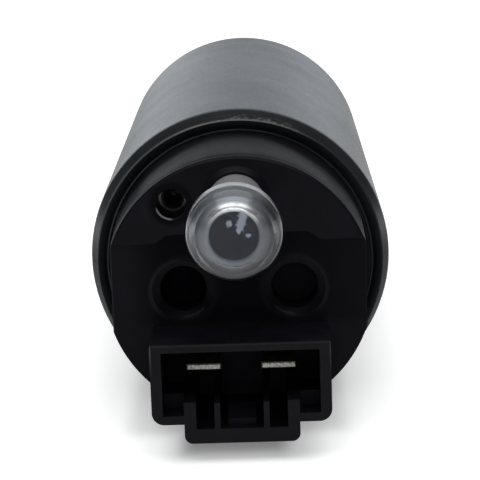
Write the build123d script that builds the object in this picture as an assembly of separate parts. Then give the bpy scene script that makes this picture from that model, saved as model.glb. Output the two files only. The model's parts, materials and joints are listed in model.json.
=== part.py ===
# In-tank fuel pump: a geared-rotor pump driven by a brushed motor, in a crimped steel shell.
# Frame: the pump lies along Y, outlet and connector toward -Y, inlet toward +Y, +Z up.
# The origin is on the pump's axis, half way along the shell.  All sizes are in millimetres.
import os
from math import cos, degrees, hypot, pi, sin, sqrt
from build123d import *

os.makedirs("parts", exist_ok=True)

# Shell
shell_radius = 19.5
shell_wall = 1.3
lip_length = 3.1
lip_slope = 0.9
lip_corner = 0.6
lip_edge_bevel = 0.18
lip_width = 1.5
lip_set_back = 0.35

# Fits and clearances
fit_gap = 0.05
running_gap = 0.03
side_gap = 0.04
valve_gap = 0.05
thrust_gap = 0.05

# How far a cut runs past a face, and how far joined shapes run into each other
beyond = 1.0
overlap = 0.1

# Stack along the axis, from the outlet end to the inlet end
cap_flange_thickness = 4.9
motor_chamber_length = 46.0
port_plate_thickness = 7.0
rotor_thickness = 9.0
inlet_flange_thickness = 8.9

# Outlet end cap
cap_height = 14.5
cap_inside_lip = 0.25
cap_draft = 0.35
cap_edge_bevel = 0.3
flat_from_edge = 0.85
face_step = 1.0
step_low_z = 5.96
step_high_z = 7.04
step_high_half_width = 8.1
step_curve_width = 2.5
pocket_wall = 4.15
cap_skirt_wall = 1.1
pocket_floor_depth = 9.5
tower_length = 17.0

# Brushes and their wells
brush_z = -0.2
commutator_margin = 0.2
brush_length = 10.0
brush_tunnel_gap = 0.1
tower_wall = 1.15
well_mouth_radius = 3.75
well_bevel_depth = 0.9
well_radius = 2.85
well_depth = 4.5
well_web = 1.5
brush_travel = 3.0
lead_radius = 0.5
lead_sides = 8
lead_slot_width = 1.8
lead_from_brush_tip = 9.0
lead_hole_depth = 1.3

# Relief valve
relief_from_edge = 3.12
relief_angle = 125.9
relief_bore_radius = 1.8
relief_rim_bevel = 0.15
relief_seat_depth = 17.5
relief_seat_radius = 1.0
relief_boss_radius = 3.0
relief_boss_end = 2.5
relief_sleeve_bore = 1.15
relief_sleeve_length = 4.0
relief_sleeve_recess = 4.2
relief_sleeve_bevel = 0.3
relief_ball_radius = 1.6

# Outlet nipple, moulded into the cap
nipple_from_edge = 5.5
nipple_stem_radius = 3.4
nipple_bore_radius = 2.73
nipple_length = 18.7
shank_radius = 4.3
shank_cover = 2.3
shank_length = 9.0
shank_wall = 1.0
valve_chamber_radius = 3.45
shank_groove_depth = 0.4
shank_groove_width = 1.6
nipple_boss_wall = 1.3
nipple_collar_height = 0.6
nipple_collar_radius = 4.3
barb_radius = 4.45
barb_back_slope = 0.8
barb_land = 0.5
barb_nose = 1.8
barb_tip_bevel = 0.1
outlet_channel_radius = 2.0

# Check valve in the nipple's shank
poppet_radius = 3.1
poppet_thickness = 1.2
poppet_bevel = 0.3
poppet_stem_radius = 1.0
poppet_stem_length = 3.8

# Clear dust cap snapped over the barb
cap_front_clearance = 0.25
cap_wall = 0.55
cap_disc_radius = 2.73
cap_rim_radius = 5.45
cap_barb_gap = 0.15
cap_rim_length = 0.85
cap_shoulder_from_barb = 0.3
cap_inner_bevel = 0.95
cap_inner_bevel_depth = 0.75
cap_inner_taper = 0.35

# Connector
connector_reach = 8.9
connector_half_width = 10.8
connector_top_z = -4.6
connector_bottom_z = -14.5
connector_corner = 1.5
connector_top_corner = 0.4
connector_back_y_from_edge = 3.5
wall_side = 1.35
wall_top = 0.96
wall_bottom = 1.07
key_half_width = 6.94
key_bottom_z = -16.93
key_corner = 1.0
key_floor = 1.8
key_wall = 1.45
key_wall_top_z = -11.75
cavity_depth = 13.4
rib_x = 2.95
rib_thickness = 0.7
rib_top_z = -11.9
latch_half_width = 1.7
latch_set_back = 1.2
latch_front_height = 0.85
latch_height = 1.9
latch_ramp_length = 3.0
latch_top_length = 1.2
ledge_width = 2.45
ledge_height = 1.8
ledge_set_back = 3.3
ledge_length = 4.0

# Terminals
blade_x = 4.57
blade_z = -9.02
blade_width = 4.2
blade_thickness = 0.8
blade_recess = 5.4
blade_tip_bevel = 0.15
blade_shoulder = 0.7
blade_shoulder_length = 1.0
tail_length = 4.2
tail_offset = 0.9
tail_slope = 0.6
blade_slot_gap = 0.05
lead_past_shoulder = 1.5
lead_bend = 2.5

# Seal rings, square in section
seal_thickness = 1.4
seal_groove_width = 1.7
seal_squeeze_gap = 0.05
seal_from_shoulder = 1.2

# Motor
flux_ring_wall = 1.75
magnet_thickness = 3.45
magnet_length = 29.0
magnet_arc = 132.0
magnet_from_plate = 3.5
clip_thickness = 0.6
clip_leg = 2.4
shaft_radius = 2.0
air_gap = 0.5
rear_clearance = 3.7
core_teeth = 8
tooth_width_share = 0.24
tooth_tip_share = 0.137
slot_inner_share = 0.38
slot_opening = 1.8
slot_liner = 0.15
overhang_front = 3.4
overhang_rear = 3.4
overhang_set_back = 0.2
overhang_taper = 1.6
commutator_set_in = 0.8
commutator_inner_radius = 4.2
segment_thickness = 2.4
segment_gap = 0.6
riser_width = 1.6
riser_thickness = 0.5
riser_set_back = 0.5
riser_short = 0.3
hub_thickness = 3.1
hub_sleeve_radius = 3.4
hub_sleeve_reach = 2.4
brush_to_commutator_gap = 0.05
shaft_collar_radius = 2.9

# Bushes and washers
bush_wall = 1.2
bush_length = 5.0
rear_bush_set_back = 0.2
washer_thickness = 0.4
washer_radius = 3.4
shaft_end_gap = 0.5
shaft_flat_share = 0.7
shaft_bevel = 0.3

# Geared rotors: the outer rotor has round lobes, the inner one rolls inside them
inner_lobes = 6
eccentricity_share = 0.087
housing_wall = 2.6
rotor_wall = 2.3
lobe_radius_share = 0.206
mesh_gap = 0.07
valley_gap = 0.2
rotor_fit_gap = 0.06
arcs_per_lobe = 10

# Pump stack
pin_radius = 2.0
pin_depth = 5.0
port_margin = 0.65
port_arc = 118.0
shadow_port_depth = 0.8
coupling_rim = 0.75
coupling_thickness = 2.2
coupling_recess_gap = 0.4
drive_tang_radius = 0.95
drive_tang_length = 3.2
drive_tangs = 3
tang_gap = 0.1
tang_end_gap = 0.3
dowel_radius = 0.9
dowel_inset = 2.05
dowel_spread = 40.0
dowel_depth_in_plate = 5.0
dowel_depth_in_inlet = 4.0

# Inlet body
inlet_offset_z = -7.0
inlet_nozzle_radius = 5.5
inlet_bore_radius = 4.3
inlet_nozzle_length = 10.5
inlet_nozzle_bevel = 0.8
inlet_hub_inside_lip = 0.6
inlet_hub_height = 0.6
inlet_hub_bevel = 0.35
inlet_port_depth = 5.0

# Springs: wire radius, coil radius or its distance from the bore's edge, and number of turns
brush_spring_wire = 0.3
brush_spring_set_in = 0.75
brush_spring_turns = 4
check_spring_wire = 0.2
check_spring_radius = 2.9
check_spring_turns = 3
relief_spring_wire = 0.2
relief_spring_radius = 1.45
relief_spring_turns = 3
wire_sides = 4
turn_samples = 24

# Stations along Y
shell_length = (
    2 * lip_length
    + cap_flange_thickness
    + motor_chamber_length
    + port_plate_thickness
    + rotor_thickness
    + inlet_flange_thickness
)
front_edge = -shell_length / 2
back_edge = shell_length / 2
flange_front = front_edge + lip_length
flange_back = flange_front + cap_flange_thickness
plate_front = flange_back + motor_chamber_length
plate_back = plate_front + port_plate_thickness
housing_back = plate_back + rotor_thickness
inlet_shoulder = housing_back + inlet_flange_thickness
upper_face = front_edge - cap_height
lower_face = upper_face + face_step
pocket_floor = upper_face + pocket_floor_depth
tower_end = pocket_floor + tower_length
mouth = lower_face - connector_reach
well_floor = lower_face + well_depth
tunnel_floor = well_floor + well_web
nipple_front = upper_face - nipple_length
shank_front = upper_face + shank_cover
shank_back = shank_front + shank_length
relief_seat = upper_face + relief_seat_depth
inlet_face = back_edge + inlet_hub_height
nozzle_end = inlet_face + inlet_nozzle_length

# Radii that follow from the shell
bore_radius = shell_radius - shell_wall
insert_radius = bore_radius - fit_gap
lip_outer_radius = shell_radius - lip_slope
lip_inner_radius = lip_outer_radius - lip_width
cap_root_radius = lip_inner_radius - cap_inside_lip
cap_face_radius = cap_root_radius - cap_draft
flat_half_width = cap_face_radius - flat_from_edge
pocket_radius = insert_radius - pocket_wall
nipple_z = cap_face_radius - nipple_from_edge
relief_x = (cap_face_radius - relief_from_edge) * cos(relief_angle * pi / 180)
relief_z = (cap_face_radius - relief_from_edge) * sin(relief_angle * pi / 180)
inlet_hub_radius = lip_inner_radius - inlet_hub_inside_lip
flux_inner_radius = insert_radius - flux_ring_wall
magnet_outer_radius = flux_inner_radius - fit_gap
magnet_inner_radius = magnet_outer_radius - magnet_thickness
core_radius = magnet_inner_radius - air_gap
tooth_width = core_radius * tooth_width_share
tooth_tip = core_radius * tooth_tip_share
slot_outer_radius = core_radius - tooth_tip
slot_inner_radius = core_radius * slot_inner_share
overhang_outer_radius = slot_outer_radius - overhang_set_back
overhang_inner_radius = slot_inner_radius + overhang_set_back
commutator_radius = overhang_outer_radius - commutator_set_in
brush_radius = (commutator_radius - commutator_margin - commutator_inner_radius) / 2
brush_x = commutator_inner_radius + brush_radius
brush_spring_radius = brush_radius - brush_spring_set_in
bush_radius = shaft_radius + running_gap + bush_wall
tunnel_radius = brush_radius + brush_tunnel_gap
tower_radius = tunnel_radius + tower_wall
rotor_space = insert_radius - housing_wall
eccentricity = rotor_space * eccentricity_share
lobe_radius = rotor_space * lobe_radius_share
outer_rotor_radius = rotor_space - eccentricity
valley_radius = outer_rotor_radius - rotor_wall
lobe_circle_radius = valley_radius - valley_gap + lobe_radius - 2 * eccentricity
rotor_root_radius = lobe_circle_radius - eccentricity - lobe_radius - mesh_gap
port_inner_radius = rotor_root_radius + port_margin
port_outer_radius = valley_radius - port_margin
drive_tang_circle = (pin_radius + rotor_root_radius) / 2
coupling_radius = drive_tang_circle + drive_tang_radius + coupling_rim
dowel_circle = insert_radius - dowel_inset

# Stations of the armature
front_washer_front = tower_end + thrust_gap
sleeve_front = front_washer_front + washer_thickness + thrust_gap
commutator_face = sleeve_front + hub_sleeve_reach
segment_back = commutator_face + segment_thickness
hub_back = segment_back + hub_thickness
core_front = hub_back + fit_gap + overhang_front
core_back = plate_front - rear_clearance - overhang_rear - fit_gap
rear_washer_back = plate_front - thrust_gap
collar_back = rear_washer_back - washer_thickness - thrust_gap
recess_floor = plate_back - coupling_thickness - coupling_recess_gap
rear_bush_back = recess_floor - rear_bush_set_back
rotor_front = plate_back + side_gap
rotor_back = housing_back - side_gap
brush_front = commutator_face - brush_to_commutator_gap - brush_length


# Shape helpers

def across(y):
    """Plane square to the pump's axis at y, its X along X and its Y along Z."""
    return Plane(origin=(0, y, 0), x_dir=(1, 0, 0), z_dir=(0, -1, 0))


def prism(sketch, y_from, y_to):
    """A sketch in X and Z, made solid from y_from to y_to."""
    return extrude(across(y_to) * sketch, amount=y_to - y_from)


def rod(radius, y_from, y_to, x=0.0, z=0.0):
    """A round bar along Y."""
    return prism(Pos(x, z) * Circle(radius), y_from, y_to)


def tube(outer, inner, y_from, y_to, x=0.0, z=0.0):
    """A round tube along Y."""
    return prism(Pos(x, z) * (Circle(outer) - Circle(inner)), y_from, y_to)


def turned(edges, x=0.0, z=0.0):
    """A closed outline of radius and y, turned about an axis along Y."""
    return Pos(x, 0, z) * revolve(make_face(edges), Axis.Y)


def turned_polygon(points, x=0.0, z=0.0):
    """A polygon of radius and y points, turned about an axis along Y."""
    return turned(Polyline(*points, close=True), x, z)


def block(x_range, y_range, z_range):
    """A box given by its limits."""
    width = x_range[1] - x_range[0]
    height = z_range[1] - z_range[0]
    centre = ((x_range[0] + x_range[1]) / 2, (z_range[0] + z_range[1]) / 2)
    return prism(Pos(*centre) * Rectangle(width, height), *y_range)


def polar(radius, angle):
    """X and Z of a point at a radius and an angle in degrees."""
    return (radius * cos(angle * pi / 180), radius * sin(angle * pi / 180))


def sector(inner, outer, start, size):
    """A piece of a ring in X and Z between two angles in degrees."""
    outer_arc = CenterArc((0, 0), outer, start, size)
    inner_arc = CenterArc((0, 0), inner, start, size)
    sides = [Line(outer_arc @ 0, inner_arc @ 0), Line(outer_arc @ 1, inner_arc @ 1)]
    return make_face([outer_arc, inner_arc] + sides)


def kidney(middle_angle):
    """A round-ended port that runs part of the way round the axis."""
    middle_radius = (port_inner_radius + port_outer_radius) / 2
    arc = CenterArc((0, 0), middle_radius, middle_angle - port_arc / 2, port_arc)
    return SlotArc(arc, port_outer_radius - port_inner_radius)


def lip_edge_y(outward):
    """Where the inner side of a rolled lip ends."""
    return outward * (back_edge - lip_set_back)


def shoulder_points(outward, gap):
    """The bevel inside a rolled lip, from the shell's bore in to the lip's edge."""
    shoulder_y = outward * (back_edge - lip_length)
    return [(bore_radius - gap, shoulder_y - outward * gap),
            (lip_inner_radius - gap, lip_edge_y(outward) - outward * gap)]


def shoulder_ring(inner, outward):
    """The shoulder of an end piece that the shell's lip is rolled over."""
    bevel = shoulder_points(outward, fit_gap)
    return turned_polygon(bevel + [(inner, bevel[1][1]), (inner, bevel[0][1])])


def biarc(start, start_tangent, end, end_tangent):
    """Two arcs that leave and arrive along the given directions."""
    chord = end - start
    both = start_tangent + end_tangent
    a = 2 * start_tangent.dot(end_tangent) - 2
    b = -2 * chord.dot(both)
    c = chord.dot(chord)
    reach = (-b - sqrt(b * b - 4 * a * c)) / (2 * a)
    first = start + start_tangent * reach
    second = end - end_tangent * reach
    join = (first + second) / 2
    return [
        TangentArc(start, join, tangent=start_tangent),
        TangentArc(join, end, tangent=second - first),
    ]


def coil_spring(name, wire, radius, turns, y_from, y_to, x, z):
    """One unbroken coil of wire between two stations, with short straight ends."""
    low = y_from + wire + fit_gap
    high = y_to - wire - fit_gap
    pitch = (high - low) / turns
    climb = pitch / (2 * pi)
    length = hypot(radius, climb)

    def at(angle):
        return Vector(x + radius * cos(angle), low + climb * angle, z + radius * sin(angle))

    def along(angle):
        return Vector(-radius * sin(angle), climb, radius * cos(angle)) / length

    halves = [step * pi for step in range(2 * turns + 1)]
    edges = [Line(at(0) - along(0) * wire * 2, at(0))]
    for begin, finish in zip(halves, halves[1:]):
        edges += biarc(at(begin), along(begin), at(finish), along(finish))
    edges.append(Line(at(halves[-1]), at(halves[-1]) + along(halves[-1]) * wire * 2))
    path = Wire(edges)
    spots = [at(2 * pi * step / turn_samples) for step in range(turn_samples * turns + 1)]
    half_turn = turn_samples // 2
    gap = min(
        (spots[i] - spots[j]).length for i in range(len(spots)) for j in range(i + half_turn, len(spots))
    )
    print(f"{name}: {turns} turns, least gap between turns {gap - 2 * wire:.2f} mm")
    section = Plane(origin=path @ 0, z_dir=path % 0) * RegularPolygon(wire, wire_sides)
    return sweep(section, path)


# Shell and end cap

def make_shell():
    """A tube whose ends are rolled in to a bevel, with a small flat broken on the lip's edge."""

    def rolled(sign):
        edge = sign * back_edge
        shoulder = edge - sign * lip_length
        middle = shoulder + sign * lip_corner
        drop = lip_slope * lip_corner / lip_length / 2
        outside = [(shell_radius, shoulder), (shell_radius - drop, middle),
                   (lip_outer_radius, edge - sign * lip_edge_bevel), (lip_outer_radius - lip_edge_bevel, edge)]
        return outside + shoulder_points(sign, 0)[::-1]

    return turned_polygon(rolled(-1) + rolled(1)[::-1])


def face_step_sketch():
    """The lower part of the end face, below a line that rises behind the nipple."""
    far = shell_radius
    curve_out = step_high_half_width + step_curve_width
    middle = step_high_half_width + step_curve_width / 2
    line = [
        Line((-far, step_low_z), (-curve_out, step_low_z)),
        Bezier((-curve_out, step_low_z), (-middle, step_low_z),
               (-middle, step_high_z), (-step_high_half_width, step_high_z)),
        Line((-step_high_half_width, step_high_z), (step_high_half_width, step_high_z)),
        Bezier((step_high_half_width, step_high_z), (middle, step_high_z),
               (middle, step_low_z), (curve_out, step_low_z)),
        Line((curve_out, step_low_z), (far, step_low_z)),
        Polyline((far, step_low_z), (far, -far), (-far, -far), (-far, step_low_z)),
    ]
    return make_face([edge for part in line for edge in part.edges()])


def corner_rounded_box(half_width, bottom, top, bottom_round, top_round=0.0):
    """A box in X and Z, centred on x = 0, with its lower corners rounded and its upper ones if asked."""
    middle = (bottom + top) / 2
    outline = Pos(0, middle) * Rectangle(2 * half_width, top - bottom)
    outline = fillet(outline.vertices().group_by(Axis.Y)[0], bottom_round)
    if top_round:
        outline = fillet(outline.vertices().group_by(Axis.Y)[-1], top_round)
    return outline


def rounded_shroud():
    """The connector's stepped outline: a wide box with a narrower key below it."""
    box = corner_rounded_box(connector_half_width, connector_bottom_z, connector_top_z,
                             connector_corner, connector_top_corner)
    key = corner_rounded_box(key_half_width, key_bottom_z, connector_bottom_z + wall_bottom, key_corner)
    return box + key


def connector_cuts():
    """What is taken out of the connector: the plug's cavity and the key's channel."""
    floor = mouth + cavity_depth
    cavity_bottom = connector_bottom_z + wall_bottom
    cavity = block(
        (-connector_half_width + wall_side, connector_half_width - wall_side),
        (mouth - beyond, floor),
        (cavity_bottom, connector_top_z - wall_top),
    )
    channel_half = key_half_width - key_wall
    channel = block((-channel_half, channel_half), (mouth - beyond, floor),
                    (key_bottom_z + key_floor, cavity_bottom + overlap))
    return cavity + channel


def connector_details():
    """Key walls, ribs, the latch's ramp and the corner ledges inside the cavity."""
    floor = mouth + cavity_depth
    cavity_bottom = connector_bottom_z + wall_bottom
    channel_half = key_half_width - key_wall
    channel_bottom = key_bottom_z + key_floor
    latch_front = mouth + latch_set_back
    latch_edge = latch_front + latch_ramp_length
    latch_back = latch_edge + latch_top_length
    latch_outline = Polyline(
        (latch_front, channel_bottom - overlap), (latch_front, channel_bottom + latch_front_height),
        (latch_edge, channel_bottom + latch_height), (latch_back, channel_bottom + latch_height),
        (latch_back, channel_bottom - overlap), close=True)
    details = extrude(Plane.YZ * make_face(latch_outline), amount=latch_half_width, both=True)
    for side in (-1, 1):
        key = sorted((side * channel_half, side * key_half_width))
        details += block(key, (mouth, floor), (cavity_bottom - overlap, key_wall_top_z))
        rib = sorted((side * (rib_x - rib_thickness / 2), side * (rib_x + rib_thickness / 2)))
        details += block(rib, (mouth, floor), (channel_bottom - overlap, rib_top_z))
        wall = connector_half_width - wall_side
        ledge = sorted((side * (wall - ledge_width), side * (wall + overlap)))
        start = mouth + ledge_set_back
        details += block(ledge, (start, start + ledge_length),
                         (cavity_bottom - overlap, cavity_bottom + ledge_height))
    return details


def make_end_cap():
    # Plateau with a slight draft, its flange, and the flats on the two sides
    root_y = lip_edge_y(-1) + fit_gap
    plateau = turned_polygon([
        (0, upper_face), (cap_face_radius - cap_edge_bevel, upper_face),
        (cap_face_radius, upper_face + cap_edge_bevel), (cap_root_radius, root_y), (0, root_y),
    ])
    for side in (-1, 1):
        outside = sorted((side * flat_half_width, side * shell_radius))
        plateau -= block(outside, (upper_face - beyond, front_edge - beyond), (-shell_radius, shell_radius))
    plateau -= prism(face_step_sketch(), upper_face - beyond, lower_face)
    plateau += prism(rounded_shroud(), mouth, front_edge - connector_back_y_from_edge)
    cap = plateau + shoulder_ring(pocket_radius, -1)
    cap += tube(insert_radius, pocket_radius, flange_front + fit_gap, flange_back)
    cap += tube(pocket_radius + cap_skirt_wall, pocket_radius, root_y, flange_back)
    cap += turned_polygon([
        (nipple_stem_radius, upper_face + overlap), (nipple_collar_radius, upper_face + overlap),
        (nipple_collar_radius, upper_face),
        (nipple_collar_radius - nipple_collar_height, upper_face - nipple_collar_height),
        (nipple_stem_radius, upper_face - nipple_collar_height),
    ], 0, nipple_z)
    cap -= connector_cuts()
    cap += connector_details()

    # Motor side: a round pocket with bosses left standing in it
    cap -= rod(pocket_radius, pocket_floor, root_y + overlap)
    nipple_boss_radius = shank_radius + nipple_boss_wall
    bosses = rod(bush_radius + tower_wall, pocket_floor, tower_end)
    for side in (-1, 1):
        bosses += rod(tower_radius, pocket_floor, tower_end, side * brush_x, brush_z)
    inside = rod(pocket_radius + overlap, pocket_floor, flange_back)
    bosses += rod(nipple_boss_radius, pocket_floor, shank_back + nipple_boss_wall, 0, nipple_z) & inside
    bosses += rod(relief_boss_radius, pocket_floor, relief_seat + relief_boss_end,
                  relief_x, relief_z) & inside
    cap += bosses

    # Brush wells and tunnels
    for side in (-1, 1):
        x = side * brush_x
        cap -= turned_polygon([
            (0, lower_face - beyond), (well_mouth_radius, lower_face - beyond), (well_mouth_radius, lower_face),
            (well_radius, lower_face + well_bevel_depth), (well_radius, well_floor), (0, well_floor),
        ], x, brush_z)
        cap -= rod(tunnel_radius, tunnel_floor, tower_end + beyond, x, brush_z)
        half_slot = lead_slot_width / 2
        slot_start = lead_y() - brush_travel - half_slot
        cap -= block((x - half_slot, x + half_slot), (slot_start, tower_end + beyond),
                     (brush_z - tower_radius - beyond, brush_z))

    # Shaft bush seat
    bush_floor = tower_end - bush_length
    cap -= rod(bush_radius + fit_gap, bush_floor, tower_end + beyond)
    cap -= rod(shaft_radius + shaft_end_gap, bush_floor - shaft_end_gap * 2, bush_floor + beyond)

    # Relief valve port with its conical seat
    seat_cone = relief_bore_radius - relief_seat_radius
    cap -= turned_polygon([
        (0, upper_face - beyond), (relief_bore_radius + relief_rim_bevel, upper_face - beyond),
        (relief_bore_radius + relief_rim_bevel, upper_face),
        (relief_bore_radius, upper_face + relief_rim_bevel),
        (relief_bore_radius, relief_seat - seat_cone), (relief_seat_radius, relief_seat),
        (relief_seat_radius, relief_seat + relief_boss_end + beyond),
        (0, relief_seat + relief_boss_end + beyond),
    ], relief_x, relief_z)

    # Room for the moulded-in nipple, and the outlet channel behind it
    collar_front = upper_face - nipple_collar_height
    cap -= rod(nipple_stem_radius + fit_gap, collar_front - beyond, shank_front + beyond, 0, nipple_z)
    cap -= rod(shank_radius + fit_gap, shank_front - fit_gap, shank_back + fit_gap, 0, nipple_z)
    cap += tube(shank_radius + 2 * fit_gap, shank_radius - shank_groove_depth + fit_gap,
                *groove_span(fit_gap), 0, nipple_z)
    cap -= rod(outlet_channel_radius, shank_back - beyond, shank_back + nipple_boss_wall + beyond, 0, nipple_z)

    # Terminal slots and the seal groove
    for side in (-1, 1):
        x = side * blade_x
        half_width = blade_width / 2 + blade_slot_gap
        half_height = blade_thickness / 2 + blade_slot_gap
        cap -= block((x - half_width, x + half_width), (mouth, pocket_floor + overlap),
                     (blade_z - half_height, blade_z + half_height))
    cap -= seal_groove(flange_front + fit_gap + seal_from_shoulder)
    return cap


def groove_span(margin):
    """Where the locking groove round the nipple's shank lies, less a margin at each side."""
    middle = (shank_front + shank_back) / 2
    half = shank_groove_width / 2 - margin
    return middle - half, middle + half


def seal_groove(y_start):
    """The groove for a seal ring, cut round an end piece."""
    floor = bore_radius - seal_squeeze_gap - seal_thickness - fit_gap
    return tube(bore_radius + beyond, floor, y_start, y_start + seal_groove_width)


def make_seal(y_start):
    """A square ring that just meets the shell and the groove's floor."""
    outside = bore_radius - seal_squeeze_gap
    slack = (seal_groove_width - seal_thickness) / 2
    return tube(outside, outside - seal_thickness, y_start + slack, y_start + seal_groove_width - slack)


# Outlet nipple, dust cap and check valve

def make_nipple():
    tip = nipple_front
    ridge = tip + barb_nose
    back = ridge + barb_land
    groove_start, groove_end = groove_span(0)
    nose = TangentArc((barb_radius, ridge), (nipple_bore_radius + barb_tip_bevel, tip), tangent=(0, -1))
    rest = Polyline(
        nose @ 1, (nipple_bore_radius, tip + barb_tip_bevel), (nipple_bore_radius, shank_front + shank_wall),
        (valve_chamber_radius, shank_front + shank_wall), (valve_chamber_radius, shank_back),
        (shank_radius, shank_back), (shank_radius, groove_end),
        (shank_radius - shank_groove_depth, groove_end), (shank_radius - shank_groove_depth, groove_start),
        (shank_radius, groove_start), (shank_radius, shank_front), (nipple_stem_radius, shank_front),
        (nipple_stem_radius, back + barb_back_slope), (barb_radius, back), nose @ 0,
    )
    return turned([nose] + rest.edges(), 0, nipple_z)


def make_dust_cap():
    """A dome with a flat end; its inside is a bevel and a taper that clear the barb's nose."""
    front = nipple_front - cap_front_clearance - cap_wall
    inner_front = front + cap_wall
    shoulder_y = nipple_front + barb_nose - cap_shoulder_from_barb
    skirt_end = nipple_front + barb_nose + barb_land + cap_rim_length
    rim_bore = barb_radius + cap_barb_gap
    bevel_radius = rim_bore - cap_inner_taper
    dome = TangentArc((cap_rim_radius, shoulder_y), (cap_disc_radius, front), tangent=(0, -1))
    rest = Polyline(
        dome @ 1, (0, front), (0, inner_front), (bevel_radius - cap_inner_bevel, inner_front),
        (bevel_radius, inner_front + cap_inner_bevel_depth), (rim_bore, shoulder_y),
        (rim_bore, skirt_end), (cap_rim_radius, skirt_end), dome @ 0,
    )
    return turned([dome] + rest.edges(), 0, nipple_z)


def make_check_poppet():
    seat = shank_back - valve_gap
    disc_front = seat - poppet_thickness
    return turned_polygon([
        (0, seat), (poppet_radius, seat), (poppet_radius, disc_front + poppet_bevel),
        (poppet_radius - poppet_bevel, disc_front),
        (poppet_stem_radius, disc_front), (poppet_stem_radius, disc_front - poppet_stem_length),
        (0, disc_front - poppet_stem_length),
    ], 0, nipple_z)


def make_check_spring():
    return coil_spring("check_valve_spring", check_spring_wire, check_spring_radius, check_spring_turns,
                       shank_front + shank_wall, shank_back - valve_gap - poppet_thickness, 0, nipple_z)


# Relief valve

def relief_ball_y():
    """The ball's centre when it sits on the cone just clear of the seat's edge."""
    slope_distance = relief_ball_radius * sqrt(2)
    cone_tip = relief_seat + relief_seat_radius
    return cone_tip - slope_distance - valve_gap


def make_relief_sleeve():
    start = upper_face + relief_sleeve_recess
    end = start + relief_sleeve_length
    outer = relief_bore_radius - fit_gap
    return turned_polygon([
        (relief_sleeve_bore, end), (outer, end), (outer, start),
        (relief_sleeve_bore + relief_sleeve_bevel, start), (relief_sleeve_bore, start + relief_sleeve_bevel),
    ], relief_x, relief_z)


def make_relief_ball():
    return Pos(relief_x, relief_ball_y(), relief_z) * Sphere(relief_ball_radius)


def make_relief_spring():
    start = upper_face + relief_sleeve_recess + relief_sleeve_length
    inner = relief_spring_radius - relief_spring_wire
    contact = relief_ball_y() - sqrt(relief_ball_radius ** 2 - inner ** 2)
    return coil_spring("relief_valve_spring", relief_spring_wire, relief_spring_radius,
                       relief_spring_turns, start, contact - relief_spring_wire, relief_x, relief_z)


# Terminals, brushes and leads

def make_terminal(side):
    x = side * blade_x
    tip = mouth + blade_recess
    half = blade_width / 2
    shoulder_end = pocket_floor + fit_gap + blade_shoulder_length
    outline = [
        (x - half, tip), (x + half, tip), (x + half, pocket_floor + fit_gap),
        (x + half + blade_shoulder, pocket_floor + fit_gap), (x + half + blade_shoulder, shoulder_end),
        (x + side * tail_offset + half, shoulder_end + tail_slope),
        (x + side * tail_offset + half, shoulder_end + tail_length),
        (x + side * tail_offset - half, shoulder_end + tail_length),
        (x + side * tail_offset - half, shoulder_end + tail_slope),
        (x - half - blade_shoulder, shoulder_end), (x - half - blade_shoulder, pocket_floor + fit_gap),
        (x - half, pocket_floor + fit_gap),
    ]
    sheet = make_face(Polyline(*outline, close=True))
    blade = Pos(0, 0, blade_z - blade_thickness / 2) * extrude(sheet, amount=blade_thickness)
    tip_edges = blade.edges().group_by(Axis.Y)[0]
    return chamfer(tip_edges, blade_tip_bevel)


def lead_y():
    """Where a lead leaves its brush."""
    return brush_front + brush_length - lead_from_brush_tip


def make_brush(side):
    x = side * brush_x
    brush = rod(brush_radius, brush_front, brush_front + brush_length, x, brush_z)
    hole_top = brush_z - brush_radius + lead_hole_depth
    hole_plane = Plane(origin=(x, lead_y(), hole_top), z_dir=(0, 0, -1))
    return brush - extrude(hole_plane * Circle(lead_radius + fit_gap), amount=lead_hole_depth + beyond)


def make_brush_lead(side):
    x = side * brush_x
    top = brush_z - brush_radius + lead_hole_depth - fit_gap
    rest = blade_z + blade_thickness / 2 + lead_radius + fit_gap
    end = pocket_floor + fit_gap + blade_shoulder_length + lead_past_shoulder
    plane = Plane(origin=(x, 0, 0), x_dir=(0, 1, 0), z_dir=(1, 0, 0))
    path = FilletPolyline((lead_y(), top), (lead_y(), rest), (end, rest), radius=lead_bend)
    start = Plane(origin=(x, lead_y(), top), z_dir=(0, 0, -1))
    return sweep(start * RegularPolygon(lead_radius, lead_sides), plane * path)


def make_brush_spring(side):
    return coil_spring(f"brush_spring {side}", brush_spring_wire, brush_spring_radius,
                       brush_spring_turns, tunnel_floor, brush_front, side * brush_x, brush_z)


# Motor

def make_flux_ring():
    return tube(insert_radius, flux_inner_radius, flange_back, plate_front)


def make_magnet(middle_angle):
    y_to = plate_front - magnet_from_plate
    shape = sector(magnet_inner_radius, magnet_outer_radius, middle_angle - magnet_arc / 2, magnet_arc)
    return prism(shape, y_to - magnet_length, y_to)


def make_magnet_clip(middle_angle):
    """A bent strip that spreads the magnets apart and holds them against the ring."""
    y_to = plate_front - magnet_from_plate
    gap_angle = 180 - magnet_arc
    slack = degrees(fit_gap * 2 / magnet_outer_radius)
    half = gap_angle / 2 - slack
    back = sector(magnet_outer_radius - clip_thickness, magnet_outer_radius, middle_angle - half, 2 * half)
    leg_angle = degrees(clip_thickness / magnet_outer_radius)
    shape = back
    for start in (middle_angle - half, middle_angle + half - leg_angle):
        shape += sector(magnet_outer_radius - clip_leg, magnet_outer_radius, start, leg_angle)
    return prism(shape, y_to - magnet_length, y_to)


def core_slots(shrink):
    """The winding slots between the teeth, made smaller all round by a liner."""
    ring = Circle(slot_outer_radius - shrink) - Circle(slot_inner_radius + shrink)
    for tooth in range(core_teeth):
        angle = 360 * tooth / core_teeth
        ring -= Rot(0, 0, angle) * Pos(core_radius / 2, 0) * Rectangle(core_radius, tooth_width + 2 * shrink)
    return ring


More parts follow.
